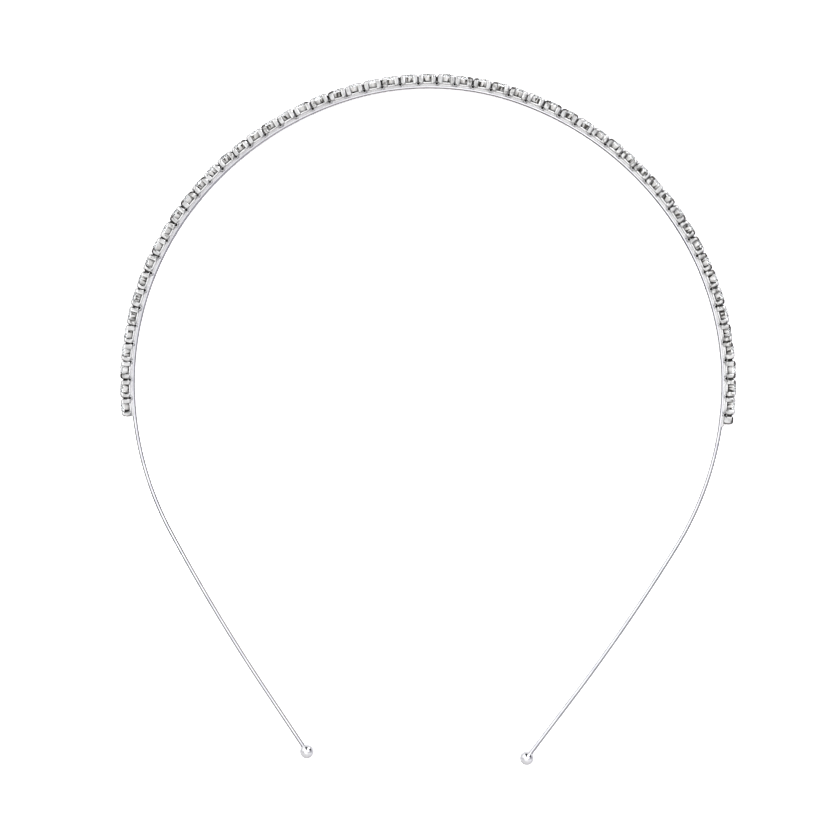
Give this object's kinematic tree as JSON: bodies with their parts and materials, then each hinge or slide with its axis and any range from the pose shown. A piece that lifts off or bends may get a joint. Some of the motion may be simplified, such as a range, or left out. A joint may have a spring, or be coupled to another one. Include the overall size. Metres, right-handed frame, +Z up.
{
  "type": "crystal headband",
  "caption": "Slim sprung wire headband with a row of claw-set cut crystals soldered along its outer edge, a short closed cup at the row's right end, and a small ball on each end of the wire.",
  "frame": {"origin": "middle of the band's outline, on the surface that it lies on", "axes": "+Y towards the top of the arch, +X to its right, +Z up from the surface, across the band"},
  "size_m": [0.1344, 0.15, 0.0036],
  "materials": {
    "plated_metal": "bright rhodium-toned plating",
    "crystal": "clear cut glass with a silvered back",
    "ball_metal": "polished bright plating"
  },
  "bodies": {
    "root": {"soldered_band": "plated_metal", "crystals": "crystal", "ball_tip_left": "ball_metal", "ball_tip_right": "ball_metal"}
  },
  "joints": []
}
